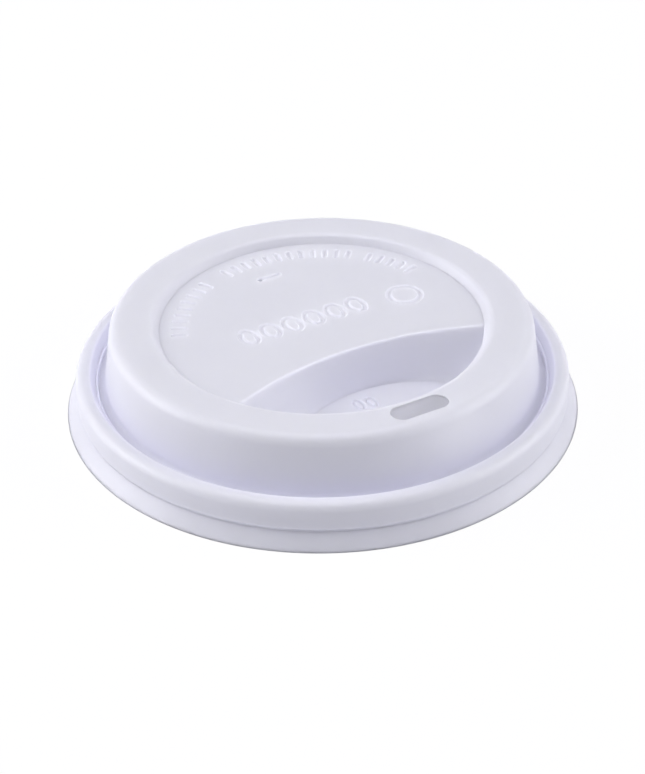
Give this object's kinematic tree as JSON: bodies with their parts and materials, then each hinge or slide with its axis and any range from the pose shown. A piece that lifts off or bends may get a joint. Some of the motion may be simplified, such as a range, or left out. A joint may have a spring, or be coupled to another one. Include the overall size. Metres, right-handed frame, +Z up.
{
  "type": "coffee cup lid",
  "caption": "Raised travel lid for a takeaway hot cup, with a sip hole in the drinking ring, a lip well and a vent.",
  "frame": {"origin": "middle of the circle that the skirt's bottom edge stands on", "axes": "+Z up along the lid's axis, -Y towards the sip hole, +X to the drinker's right"},
  "size_m": [0.095, 0.095, 0.0177],
  "materials": {
    "white_plastic": "satin"
  },
  "bodies": {
    "root": {"lid": "white_plastic"}
  },
  "joints": []
}
